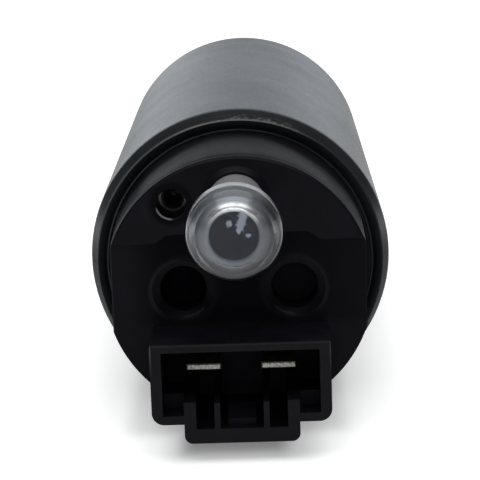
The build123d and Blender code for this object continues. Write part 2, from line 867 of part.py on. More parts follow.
def make_armature_core():
    section = Circle(core_radius) - Circle(shaft_radius) - core_slots(0)
    for slot in range(core_teeth):
        angle = 180 * (2 * slot + 1) / core_teeth
        mouth_middle = (slot_outer_radius + core_radius) / 2
        opening = Rectangle(tooth_tip + 2 * beyond, slot_opening)
        section -= Rot(0, 0, angle) * Pos(mouth_middle, 0) * opening
    return prism(section, core_front, core_back)


def make_windings():
    front = core_front - fit_gap
    back = core_back + fit_gap
    coils = prism(core_slots(slot_liner), front - overlap, back + overlap)
    for inner_y, outer_y in ((front, hub_back + 2 * fit_gap), (back, back + overhang_rear)):
        coils += turned_polygon([
            (overhang_inner_radius, inner_y), (overhang_outer_radius, inner_y),
            (overhang_outer_radius - overhang_taper, outer_y), (overhang_inner_radius, outer_y),
        ])
    return coils


def make_commutator_segments():
    """Copper face segments, each with a riser for its winding's end."""
    half_gap = degrees(segment_gap / (commutator_radius + commutator_inner_radius))
    step = 360 / core_teeth
    size = step - 2 * half_gap
    segments = []
    for index in range(core_teeth):
        middle = step * index
        plate = prism(sector(commutator_inner_radius, commutator_radius, middle - size / 2, size),
                      commutator_face, segment_back)
        reach = commutator_radius + riser_thickness / 2
        riser = Rot(0, 0, middle) * Pos(reach, 0) * Rectangle(riser_thickness * 2, riser_width)
        segments.append(plate + prism(riser, commutator_face + riser_set_back, hub_back - riser_short))
    return Compound(segments)


def make_commutator_hub():
    hub = rod(commutator_radius - riser_thickness, segment_back + fit_gap, hub_back)
    hub += rod(hub_sleeve_radius, sleeve_front, segment_back + beyond)
    return hub - rod(shaft_radius, sleeve_front - beyond, hub_back + beyond)


def flatted_shaft(gap):
    """A round section with one flat, made larger all round by a gap."""
    radius = shaft_radius + gap
    flat = shaft_radius * shaft_flat_share + gap
    return Circle(radius) - Pos(flat + radius, 0) * Rectangle(2 * radius, 2 * (radius + beyond))


def make_shaft():
    front = tower_end - bush_length - shaft_end_gap
    flat_start = recess_floor
    end = plate_back - coupling_recess_gap
    shaft = rod(shaft_radius, front, flat_start)
    shaft += prism(flatted_shaft(0), flat_start - overlap, end)
    shaft = chamfer(shaft.edges().filter_by(GeomType.CIRCLE).sort_by(Axis.Y)[0], shaft_bevel)
    return shaft + rod(shaft_collar_radius, core_back, collar_back)


def make_front_bush():
    return tube(bush_radius, shaft_radius + running_gap, tower_end - bush_length, tower_end)


def make_rear_bush():
    return tube(bush_radius, shaft_radius + running_gap, plate_front, rear_bush_back)


def make_washer(y_start):
    return tube(washer_radius, shaft_radius + running_gap, y_start, y_start + washer_thickness)


# Pump stack

def rolled_point(angle):
    """Centre of an outer lobe as the inner rotor sees it."""
    outer_lobes = inner_lobes + 1
    return Vector(
        lobe_circle_radius * cos(angle) + eccentricity * cos(outer_lobes * angle),
        lobe_circle_radius * sin(angle) + eccentricity * sin(outer_lobes * angle),
    )


def inner_rotor_point(angle):
    """The path of the lobe centres, moved in by the lobe's radius and the mesh clearance."""
    outer_lobes = inner_lobes + 1
    along = Vector(
        -lobe_circle_radius * sin(angle) - outer_lobes * eccentricity * sin(outer_lobes * angle),
        lobe_circle_radius * cos(angle) + outer_lobes * eccentricity * cos(outer_lobes * angle),
    ).normalized()
    return rolled_point(angle) - Vector(along.Y, -along.X) * (lobe_radius + mesh_gap)


def inner_rotor_outline():
    """The profile as a chain of arcs, each through its two ends and its middle."""
    count = inner_lobes * arcs_per_lobe
    step = 2 * pi / count
    arcs = []
    for index in range(count):
        first, last = index * step, (index + 1) * step
        arcs.append(ThreePointArc(*[inner_rotor_point(a) for a in (first, (first + last) / 2, last)]))
    return make_face(arcs)


def tang_places(radius):
    shape = Sketch()
    for index in range(drive_tangs):
        shape += Pos(*polar(drive_tang_circle, 90 + 360 * index / drive_tangs)) * Circle(radius)
    return shape


def make_inner_rotor():
    section = inner_rotor_outline() - Circle(pin_radius + running_gap)
    rotor = prism(section, rotor_front, rotor_back)
    return rotor - prism(tang_places(drive_tang_radius + tang_gap), rotor_front - beyond,
                         rotor_front + drive_tang_length + tang_end_gap)


def make_outer_rotor():
    outer_lobes = inner_lobes + 1
    hole = Circle(valley_radius)
    for index in range(outer_lobes):
        hole -= Pos(*polar(lobe_circle_radius, 360 * index / outer_lobes)) * Circle(lobe_radius)
    section = Circle(outer_rotor_radius) - hole
    return prism(Pos(eccentricity, 0) * section, rotor_front, rotor_back)


def dowel_places():
    return [polar(dowel_circle, 180 + side * dowel_spread / 2) for side in (-1, 1)]


def dowel_holes(y_from, y_to):
    shape = Sketch()
    for place in dowel_places():
        shape += Pos(*place) * Circle(dowel_radius + fit_gap)
    return prism(shape, y_from, y_to)


def make_rotor_housing():
    section = Circle(insert_radius) - Pos(eccentricity, 0) * Circle(outer_rotor_radius + rotor_fit_gap)
    return prism(section, plate_back, housing_back) - dowel_holes(plate_back - beyond, housing_back + beyond)


def make_port_plate():
    """Carries the rear bush, lets pressed fuel into the motor and blanks the inlet side."""
    plate = rod(insert_radius, plate_front, plate_back)
    plate -= rod(bush_radius + fit_gap, plate_front - beyond, plate_back)
    plate -= rod(coupling_radius + coupling_recess_gap, recess_floor, plate_back + beyond)
    plate -= prism(kidney(90), plate_front - beyond, plate_back + beyond)
    plate -= prism(kidney(270), plate_back - shadow_port_depth, plate_back + beyond)
    return plate - dowel_holes(plate_back - dowel_depth_in_plate, plate_back + beyond)


def make_coupling():
    """A disc on the shaft's flat whose tangs reach into the inner rotor."""
    front = recess_floor + coupling_recess_gap / 2
    back = front + coupling_thickness
    disc = prism(Circle(coupling_radius) - flatted_shaft(running_gap), front, back)
    return disc + prism(tang_places(drive_tang_radius), back - overlap, rotor_front + drive_tang_length)


def make_rotor_pin():
    pin = rod(pin_radius, rotor_front + shaft_end_gap, housing_back + pin_depth)
    return chamfer(pin.edges().filter_by(GeomType.CIRCLE).sort_by(Axis.Y)[0], shaft_bevel)


def make_dowels():
    start = plate_back - dowel_depth_in_plate + shaft_end_gap
    end = housing_back + dowel_depth_in_inlet - shaft_end_gap
    return Compound([rod(dowel_radius, start, end, *place) for place in dowel_places()])


def make_inlet_body():
    """Closes the far end: it blanks the pressed side and leads the nozzle to the rotors."""
    bevel = shoulder_points(1, fit_gap)
    hub_start = inlet_face - inlet_hub_bevel
    body = turned_polygon([(0, housing_back), (insert_radius, housing_back)] + bevel + [
        (inlet_hub_radius, bevel[1][1]), (inlet_hub_radius, hub_start),
        (inlet_hub_radius - inlet_hub_bevel, inlet_face), (0, inlet_face),
    ])
    bevel_start = nozzle_end - inlet_nozzle_bevel
    body += turned_polygon([
        (0, inlet_face - overlap), (inlet_nozzle_radius, inlet_face - overlap),
        (inlet_nozzle_radius, bevel_start),
        (inlet_nozzle_radius - inlet_nozzle_bevel, nozzle_end), (0, nozzle_end),
    ], 0, inlet_offset_z)
    port_floor = housing_back + inlet_port_depth
    body -= rod(inlet_bore_radius, port_floor - overlap, nozzle_end + beyond, 0, inlet_offset_z)
    body -= prism(kidney(270), housing_back - beyond, port_floor)
    body -= prism(kidney(90), housing_back - beyond, housing_back + shadow_port_depth)
    body -= rod(pin_radius + fit_gap, housing_back - beyond, housing_back + pin_depth + running_gap)
    body -= dowel_holes(housing_back - beyond, housing_back + dowel_depth_in_inlet)
    body -= seal_groove(inlet_shoulder - fit_gap - seal_from_shoulder - seal_groove_width)
    return body


pieces = {
    "shell": make_shell(),
    "outlet_end_cap": make_end_cap(),
    "outlet_nipple": make_nipple(),
    "dust_cap": make_dust_cap(),
    "terminal_positive": make_terminal(1),
    "terminal_negative": make_terminal(-1),
    "end_cap_seal": make_seal(flange_front + fit_gap + seal_from_shoulder),
    "inlet_seal": make_seal(inlet_shoulder - fit_gap - seal_from_shoulder - seal_groove_width),
    "check_valve_poppet": make_check_poppet(),
    "check_valve_spring": make_check_spring(),
    "relief_valve_sleeve": make_relief_sleeve(),
    "relief_valve_ball": make_relief_ball(),
    "relief_valve_spring": make_relief_spring(),
    "brush_positive": make_brush(1),
    "brush_negative": make_brush(-1),
    "brush_lead_positive": make_brush_lead(1),
    "brush_lead_negative": make_brush_lead(-1),
    "brush_spring_positive": make_brush_spring(1),
    "brush_spring_negative": make_brush_spring(-1),
    "flux_ring": make_flux_ring(),
    "magnet_upper": make_magnet(90),
    "magnet_lower": make_magnet(270),
    "magnet_clip_right": make_magnet_clip(0),
    "magnet_clip_left": make_magnet_clip(180),
    "armature_core": make_armature_core(),
    "armature_windings": make_windings(),
    "commutator_segments": make_commutator_segments(),
    "commutator_hub": make_commutator_hub(),
    "armature_shaft": make_shaft(),
    "front_bush": make_front_bush(),
    "rear_bush": make_rear_bush(),
    "front_thrust_washer": make_washer(front_washer_front),
    "rear_thrust_washer": make_washer(rear_washer_back - washer_thickness),
    "drive_coupling": make_coupling(),
    "inner_rotor": make_inner_rotor(),
    "outer_rotor": make_outer_rotor(),
    "rotor_pin": make_rotor_pin(),
    "rotor_housing": make_rotor_housing(),
    "port_plate": make_port_plate(),
    "dowel_pins": make_dowels(),
    "inlet_body": make_inlet_body(),
}

for name, piece in pieces.items():
    piece.label = name
    export_step(piece, f"parts/{name}.step")
print(len(pieces), "pieces, overall length", round(nozzle_end - nipple_front, 1), "mm")
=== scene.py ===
import json
import math

import bpy
from mathutils import Matrix, Vector

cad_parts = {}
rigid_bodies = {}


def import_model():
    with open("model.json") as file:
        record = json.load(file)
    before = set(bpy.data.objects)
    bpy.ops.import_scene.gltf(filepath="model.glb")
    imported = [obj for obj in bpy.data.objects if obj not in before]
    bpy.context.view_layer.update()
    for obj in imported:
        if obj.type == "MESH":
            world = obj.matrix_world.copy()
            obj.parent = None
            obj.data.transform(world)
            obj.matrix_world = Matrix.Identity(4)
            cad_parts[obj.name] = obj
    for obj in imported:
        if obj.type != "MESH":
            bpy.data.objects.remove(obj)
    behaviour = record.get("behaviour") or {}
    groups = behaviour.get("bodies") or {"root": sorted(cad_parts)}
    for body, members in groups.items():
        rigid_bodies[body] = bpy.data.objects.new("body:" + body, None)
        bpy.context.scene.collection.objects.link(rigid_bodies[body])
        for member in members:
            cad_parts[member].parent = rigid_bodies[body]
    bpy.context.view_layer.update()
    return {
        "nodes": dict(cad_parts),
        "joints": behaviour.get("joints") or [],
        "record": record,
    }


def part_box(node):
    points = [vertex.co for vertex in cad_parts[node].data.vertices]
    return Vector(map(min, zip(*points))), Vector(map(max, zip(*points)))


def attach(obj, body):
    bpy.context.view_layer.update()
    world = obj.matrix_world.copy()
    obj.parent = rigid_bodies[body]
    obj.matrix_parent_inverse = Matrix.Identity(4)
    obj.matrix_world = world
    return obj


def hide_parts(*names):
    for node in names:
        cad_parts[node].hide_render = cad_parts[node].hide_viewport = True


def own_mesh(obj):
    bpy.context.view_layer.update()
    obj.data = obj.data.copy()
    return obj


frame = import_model()
nodes = frame["nodes"]
slots = {row["node"]: row["material_slot"] for row in frame["record"]["subparts"]}

# Places read from the frame, in metres
shell_low, shell_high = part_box("shell")
shell_radius = shell_high.x
front_edge = shell_low.y
back_edge = shell_high.y
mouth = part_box("outlet_end_cap")[0].y
raised_end_length = 0.0145
cap_face = front_edge - raised_end_length

# Camera, at the photograph's viewpoint
view_azimuth = math.radians(0.523)
view_elevation = math.radians(13.15)
pump_turn = math.radians(1.9)
camera_place = Vector((0.00398, -0.2718, 0.0566))
focal_length_mm = 137.4
sensor_width_mm = 36


def add_camera():
    forward = Vector((-math.sin(view_azimuth) * math.cos(view_elevation),
                      math.cos(view_azimuth) * math.cos(view_elevation),
                      -math.sin(view_elevation)))
    right = Vector((math.cos(view_azimuth), math.sin(view_azimuth), 0))
    turn = Matrix.Rotation(pump_turn, 3, "Y")
    forward = turn @ forward
    right = turn @ right
    up = right.cross(forward)
    data = bpy.data.cameras.new("camera")
    data.sensor_width = sensor_width_mm
    data.lens = focal_length_mm
    data.clip_start = 0.01
    data.clip_end = 20
    camera = bpy.data.objects.new("camera", data)
    bpy.context.scene.collection.objects.link(camera)
    basis = Matrix((right, up, -forward)).transposed()
    camera.matrix_world = Matrix.Translation(camera_place) @ basis.to_4x4()
    bpy.context.scene.camera = camera


# Places that the finishes use, in millimetres
to_mm = 1000


def axis_of(name):
    """The x and z, in millimetres, of a piece's own axis along Y."""
    low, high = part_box(name)
    return to_mm * (low.x + high.x) / 2, to_mm * (low.z + high.z) / 2


shell_end_y = to_mm * back_edge
face_y = to_mm * cap_face
mouth_y = to_mm * mouth
nipple_tip_y = to_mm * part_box("outlet_nipple")[0].y
blade_tip_y = to_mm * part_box("terminal_positive")[0].y
pump_axis = (0.0, 0.0)
nipple_axis = (0.0, axis_of("outlet_nipple")[1])
relief_axis = axis_of("relief_valve_sleeve")
well_axes = (axis_of("brush_positive"), axis_of("brush_negative"))

# Sizes of the solids that the finishes follow, in millimetres
rolled_length = 3.0
lip_outer = 18.6
lip_inner = 17.1
flat_x = 15.65
connector_side_x = 10.74
connector_top_z = -4.68
relief_rim = 1.88
well_mouth_radius = 3.75
well_radius = 2.85
nipple_bore = 2.73


class Graph:
    """A node tree under construction. Each method adds what it says and returns its output."""

    def __init__(self, owner):
        owner.use_nodes = True
        self.tree = owner.node_tree
        self.tree.nodes.clear()

    def new(self, kind):
        return self.tree.nodes.new("ShaderNode" + kind)

    def put(self, target, value):
        """Links another node's output to an input, or sets the input to a number or a colour."""
        if isinstance(value, bpy.types.NodeSocket):
            self.tree.links.new(value, target)
        elif target.type == "RGBA":
            target.default_value = (*value, 1.0)
        else:
            target.default_value = value

    def math(self, operation, first, second=0.0):
        node = self.new("Math")
        node.operation = operation
        self.put(node.inputs[0], first)
        self.put(node.inputs[1], second)
        return node.outputs[0]

    def plus(self, first, second):
        return self.math("ADD", first, second)

    def minus(self, first, second):
        return self.math("SUBTRACT", first, second)

    def times(self, first, *others):
        for other in others:
            first = self.math("MULTIPLY", first, other)
        return first

    def most(self, first, second):
        return self.math("MAXIMUM", first, second)

    def off(self, value, place=0.0):
        """How far a value is from a place, on either side."""
        return self.math("ABSOLUTE", self.minus(value, place))

    def parts(self, vector):
        node = self.new("SeparateXYZ")
        self.put(node.inputs[0], vector)
        return node.outputs

    def span(self, value, low, high, to_low=0.0, to_high=1.0, curve="LINEAR"):
        """Stretches the range from low to high over another range, and holds it at both ends."""
        node = self.new("MapRange")
        node.interpolation_type = curve
        node.clamp = True
        self.put(node.inputs["Value"], value)
        for key, number in (("From Min", low), ("From Max", high), ("To Min", to_low), ("To Max", to_high)):
            self.put(node.inputs[key], number)
        return node.outputs[0]

    def ease(self, value, start, end, top=1.0):
        """Rises smoothly from zero at the start to the top at the end. Either place may be the larger."""
        return self.span(value, start, end, 0.0, top, "SMOOTHSTEP")

    def near(self, value, place, reach, core):
        """One within a core round a place, and zero beyond its reach."""
        return self.span(self.off(value, place), reach, core)

    def light(self, kind, colour, strength):
        node = self.new(kind)
        self.put(node.inputs["Color"], colour)
        self.put(node.inputs["Strength"], strength)
        return node.outputs[0]

    def mix(self, factor, first, second):
        """The first shader where the factor is zero, and the second where it is one."""
        node = self.new("MixShader")
        for target, value in zip(node.inputs, (factor, first, second)):
            self.put(target, value)
        return node.outputs[0]


class Finish(Graph):
    """A procedural material. Lengths in it are in millimetres, in the pump's own frame."""

    def __init__(self, name):
        self.material = bpy.data.materials.new(name)
        super().__init__(self.material)
        self.output = self.new("OutputMaterial")
        self.shader = self.new("BsdfPrincipled")
        self.put(self.output.inputs["Surface"], self.shader.outputs[0])
        self.place = self.vector("SCALE", self.new("TexCoord").outputs["Object"], factor=to_mm)
        self.x, self.y, self.z = self.parts(self.place)

    def vector(self, operation, first, factor=None):
        node = self.new("VectorMath")
        node.operation = operation
        self.put(node.inputs[0], first)
        if factor is not None:
            self.put(node.inputs["Scale"], factor)
        return node.outputs["Value"] if operation == "LENGTH" else node.outputs["Vector"]

    def join(self, x, y, z):
        node = self.new("CombineXYZ")
        for target, value in zip(node.inputs, (x, y, z)):
            self.put(target, value)
        return node.outputs[0]

    def about(self, axis):
        """Distance from an axis along Y, and the parts of the direction out from it."""
        flat = self.join(self.minus(self.x, axis[0]), 0.0, self.minus(self.z, axis[1]))
        return self.vector("LENGTH", flat), self.parts(self.vector("NORMALIZE", flat))

    def rings(self, axis, across, along):
        """Coordinates that are the same all round an axis, for turning marks."""
        return self.join(self.times(self.about(axis)[0], across), self.times(self.y, along), 0.0)

    def streaks(self, round_scale, along):
        """Coordinates that change fast round the pump's axis and slowly along it, for drawing marks."""
        out = self.about(pump_axis)[1]
        across = [self.times(out[part], round_scale) for part in (0, 2)]
        return self.join(across[0], self.times(self.y, along), across[1])

    def noise(self, scale, detail=2.0, roughness=0.5, vector=None, distortion=0.0):
        node = self.new("TexNoise")
        self.put(node.inputs["Vector"], vector or self.place)
        settings = {"Scale": scale, "Detail": detail, "Roughness": roughness, "Distortion": distortion}
        for key, number in settings.items():
            self.put(node.inputs[key], number)
        return node.outputs["Fac"]

    def cells(self, scale):
        node = self.new("TexVoronoi")
        self.put(node.inputs["Vector"], self.place)
        self.put(node.inputs["Scale"], scale)
        return node.outputs["Distance"]

    def blend(self, factor, first, second):
        node = self.new("Mix")
        node.data_type = "RGBA"
        self.put(node.inputs["Factor"], factor)
        self.put(node.inputs[6], first)
        self.put(node.inputs[7], second)
        return node.outputs[2]

    def mingle(self, first, second, to_low=0.0, to_high=1.0):
        """Two noises taken together, stretched over a range."""
        return self.span(self.plus(first, second), 0.7, 1.3, to_low, to_high)

    def bump(self, *layers):
        """Stacks height layers, each given as (height from 0 to 1, depth in millimetres)."""
        normal = None
        for height, depth in layers:
            node = self.new("Bump")
            node.inputs["Strength"].default_value = 1.0
            node.inputs["Distance"].default_value = depth / to_mm
            self.put(node.inputs["Height"], height)
            if normal is not None:
                self.put(node.inputs["Normal"], normal)
            normal = node.outputs[0]
        self.put(self.shader.inputs["Normal"], normal)

    def set(self, **values):
        for key, value in values.items():
            self.put(self.shader.inputs[key.replace("_", " ")], value)


# Colours, strengths and small offsets were matched to the photograph where it shows the piece


def tone(colour, factor):
    """A colour made lighter or darker."""
    return tuple(min(1.0, part * factor) for part in colour)


def coated_steel():
    """Black coating, darker on the rolled ends, with painted highlight lines along the lip's edges, and
    flecks of wear along the lip.
    """
    fleck_middle_x = 2.5
    look = Finish("coated_steel")
    radius, out = look.about(pump_axis)
    blotch = look.noise(0.09, 4.0, 0.6)
    peel = look.noise(2.6, 2.0, 0.5)
    drawn = look.noise(6.0, 3.0, 0.6, look.streaks(round_scale=22.0, along=0.02))
    colour = look.blend(look.span(blotch, 0.35, 0.65), (0.0085, 0.0095, 0.011), (0.014, 0.0155, 0.0175))

    from_end = look.minus(shell_end_y, look.off(look.y))
    on_lip = look.span(from_end, 0.6, 0.5)
    across_lip = look.span(radius, lip_outer - 0.25, lip_inner + 0.4, -0.4, 0.36)
    rolled = look.plus(look.span(from_end, rolled_length, 0.4, 0.0, 0.58), look.times(on_lip, across_lip))
    colour = look.blend(rolled, colour, (0.0012, 0.0014, 0.0018))

    # Painted highlights: light lines on the lip's outer and inner edges, stronger towards the left
    outer_lip_highlight = look.near(radius, lip_outer - 0.09, 0.15, 0.05)
    outer_lip_highlight = look.times(outer_lip_highlight, look.span(out[0], 0.32, -0.4, 0.1, 1.0))
    inner_lip_highlight = look.span(radius, lip_inner + 0.24, lip_inner + 0.08)
    inner_lip_highlight = look.times(inner_lip_highlight, look.span(look.x, 1.0, 7.0, 1.0, 0.55), 0.95)
    patches = look.span(look.noise(0.5, 2.0), 0.35, 0.65, 0.75, 1.0)
    lip_highlight_lines = look.times(look.plus(outer_lip_highlight, inner_lip_highlight), on_lip, patches)
    colour = look.blend(lip_highlight_lines, colour, (0.062, 0.066, 0.07))

    flecks = look.times(look.span(look.noise(1.9, 3.0, 0.7), 0.49, 0.6), look.span(from_end, 1.5, 0.6),
                        look.span(radius, lip_outer - 0.15, lip_outer),
                        look.near(look.x, fleck_middle_x, 5.8, 4.0), look.span(look.z, 0.0, 1.0))
    colour = look.blend(flecks, colour, (0.075, 0.08, 0.084))

    underside = look.ease(out[2], 0.3, 0.0)
    specular = look.minus(0.27, look.plus(look.times(rolled, 0.1), look.times(underside, 0.16)))
    look.set(Base_Color=colour, Specular_IOR_Level=look.most(specular, 0.02),
             Roughness=look.plus(look.mingle(blotch, peel, 0.27, 0.36), look.times(underside, 0.2)))
    look.bump((drawn, 0.0002), (peel, 0.002))
    return look.material


def port_highlight_and_shade(look):
    """The painted highlight arc on the relief valve port's rim, and the painted shade round the port."""
    halo_radius = 3.1
    radius, out = look.about(relief_axis)
    lower_left = look.plus(look.times(out[0], -0.6), look.times(out[2], -0.8))
    # Painted highlight on the lower left of the port's rim
    rim = look.times(look.near(radius, relief_rim, 0.12, 0.05), look.span(look.y, face_y + 0.4, face_y + 0.3),
                     look.ease(lower_left, 0.72, 0.9))
    # Painted shade round the port
    painted_port_shade = look.times(look.ease(radius, halo_radius, 2.2, 0.5),
                      look.span(radius, relief_rim, relief_rim + 0.1),
                      look.span(look.y, face_y + 0.3, face_y + 0.1))
    return rim, painted_port_shade


def edge_highlights(look):
    """Faint painted highlight lines along the raised end's flats, and along the top and sides of the
    connector's mouth.
    """
    from_middle = look.off(look.x)
    # Painted highlights, stronger towards the left
    flats = look.times(look.near(from_middle, flat_x, 0.2, 0.08),
                       look.span(look.x, -flat_x, flat_x, 1.0, 0.3), 0.14)
    top = look.times(look.near(look.z, connector_top_z, 0.2, 0.06),
                     look.span(from_middle, connector_side_x + 0.16, connector_side_x + 0.06), 0.35)
    sides = look.times(look.near(from_middle, connector_side_x, 0.18, 0.05),
                       look.ease(look.z, connector_top_z - 4.32, connector_top_z - 0.82),
                       look.span(look.x, -1.0, 1.0, 2.0, 1.0))
    mouth_highlight = look.times(look.most(top, sides), look.span(look.y, mouth_y + 0.4, mouth_y + 0.2), 0.22)
    return flats, mouth_highlight


def lower_face_shade(look, on_lower_face):
    """The shade on the lower face, which fades round the brush wells."""
    full_from_x, full_to_x, full_above_z = -9.5, 5.0, -3.7
    rising = look.span(look.x, full_from_x - 4.0, full_from_x, 0.0, 0.55)
    falling = look.span(look.x, full_to_x, full_to_x + 11.0, 0.55, 0.25)
    shade = look.math("MINIMUM", rising, falling)
    shade = look.times(shade, look.ease(look.z, full_above_z - 1.6, full_above_z))
    for axis in well_axes:
        radius = look.about(axis)[0]
        fading = look.times(look.ease(radius, 4.6, 4.0, 0.55),
                            look.span(radius, well_mouth_radius - 0.1, well_mouth_radius + 0.05))
        shade = look.times(shade, look.minus(1.0, fading))
    return look.times(shade, on_lower_face)


def raised_end_light(look):
    """Painted light along the top of the raised end's side, and where it is duller, at its left."""
    out = look.about(pump_axis)[1]
    behind_face = look.span(look.y, face_y + 1.2, face_y + 4.0)
    along_top = look.minus(look.y, look.times(look.span(out[2], 0.8, 0.98), 4.5))
    # Painted light along the top of the side
    lighter = look.times(look.ease(out[2], 0.66, 0.8), behind_face,
                         look.ease(along_top, face_y + 9.5, face_y + 5.5))
    duller = look.times(look.ease(out[0], -0.62, -0.76), behind_face, 0.8)
    return lighter, duller


def well_light_and_shade(look):
    """The brush wells' cones with painted light, their insides with painted shade, the painted glints low in
    them and the painted highlight lines round them.
    """
    glint_radius = 3.42
    line_top_radius = 3.75
    cones = insides = glints = lines = 0.0
    for axis in well_axes:
        side = math.copysign(1.0, axis[0])
        line_radius, line_strength = (3.95, 0.25) if side > 0 else (4.1, 0.38)
        radius, out = look.about(axis)
        # Painted light in the well's cone, lighter towards its top
        cone = look.times(look.span(radius, well_mouth_radius + 0.05, well_mouth_radius - 0.05),
                          look.span(radius, well_radius, well_radius + 0.1),
                          look.span(out[2], -0.6, 0.7, 0.05, 0.75))
        # Painted glint low on the well's inner side
        low_inner = look.plus(look.times(out[0], -0.4 * side), look.times(out[2], -0.917))
        glint = look.times(look.near(radius, glint_radius, 0.2, 0.05), look.ease(low_inner, 0.86, 0.98))
        # Painted highlight line round the well's upper outer side
        high_outer = look.plus(look.times(out[0], 0.9 * side), look.times(out[2], 0.4))
        line_radius = look.span(out[2], 0.0, 1.0, line_radius, line_top_radius)
        line = look.times(look.near(radius, line_radius, 0.3, 0.1),
                          look.ease(high_outer, 0.1, 0.8, line_strength))
        cones = look.most(cone, cones)
        # Painted shade inside the well
        insides = look.most(look.span(radius, well_radius + 0.06, well_radius), insides)
        glints = look.most(glint, glints)
        lines = look.most(line, lines)
    in_well = look.span(look.y, face_y + 1.0, face_y + 1.1)
    return look.times(cones, in_well), look.times(insides, in_well), look.times(glints, in_well, 0.6), lines


def black_moulding():
    """Black plastic, with the studio's light and shade painted onto the end cap's edges, wells and shaded
    places.
    """
    look = Finish("black_moulding")
    cloud = look.noise(0.25, 4.0, 0.6)
    grain = look.noise(9.0, 3.0, 0.6)
    edge_highlight_grey = (0.1, 0.1, 0.11)
    well_highlight_grey = (0.018, 0.0175, 0.0205)
    on_lower_face = look.times(look.span(look.y, face_y + 0.7, face_y + 0.9),
                               look.span(look.y, face_y + 2.0, face_y + 1.8))

    rim, painted_port_shade = port_highlight_and_shade(look)
    flats, mouth_highlight = edge_highlights(look)
    shade = look.most(lower_face_shade(look, on_lower_face), painted_port_shade)
    lighter, duller = raised_end_light(look)
    cones, insides, glints, lines = well_light_and_shade(look)

    colour = look.blend(look.span(cloud, 0.3, 0.7), (0.003, 0.0026, 0.0044), (0.0052, 0.0046, 0.0072))
    # Painted light and shade: highlight lines on the edges, shade on the lower face and round the port, light
    # along the raised end's top, light in the well cones, glints and lines in the wells, shade inside them,
    # and a highlight on the port's rim
    for mask, paint in ((flats, edge_highlight_grey), (mouth_highlight, edge_highlight_grey), (shade, (0.0, 0.0, 0.0)),
                        (lighter, (0.021, 0.022, 0.0235)), (cones, (0.016, 0.0155, 0.0185)),
                        (glints, well_highlight_grey), (look.times(lines, on_lower_face), well_highlight_grey),
                        (look.times(insides, 0.3), (0.0008, 0.0007, 0.0006)), (rim, (0.14, 0.14, 0.145))):
        colour = look.blend(mask, colour, paint)

    gloss = look.span(look.y, mouth_y + 0.3, mouth_y + 0.1, 0.062, 0.1)
    gloss = look.times(gloss, look.minus(1.0, look.most(shade, duller)))
    look.set(Base_Color=colour, Roughness=look.mingle(cloud, grain, 0.42, 0.58),
             Specular_IOR_Level=look.most(look.minus(gloss, look.times(insides, 0.025)), 0.0))
    look.bump((look.span(look.cells(5.0), 0.0, 0.6), 0.002), (grain, 0.003))
    return look.material


def dented(look, on_end):
    """Small ragged dents in the clear cap's flat end, a mask for their bumps and for their painted
    reflections.
    """
    # The x and z of each from the nipple's axis, and its size
    places = ((-0.5, 1.55, 0.48), (1.05, 2.45, 0.62), (0.97, 2.0, 0.62), (0.83, 1.55, 0.64),
              (0.7, 1.15, 0.6), (0.56, 0.8, 0.46), (1.6, 0.2, 0.4))
    ragged = look.times(look.minus(look.noise(2.6, 3.0, 0.6), 0.5), 0.9)
    dents_and_reflections = 0.0
    for x, z, size in places:
        across = look.join(look.minus(look.x, x), 0.0, look.minus(look.z, nipple_axis[1] + z))
        distance = look.plus(look.vector("LENGTH", across), ragged)
        dents_and_reflections = look.most(look.ease(distance, size, size * 0.45), dents_and_reflections)
    return look.times(dents_and_reflections, on_end)


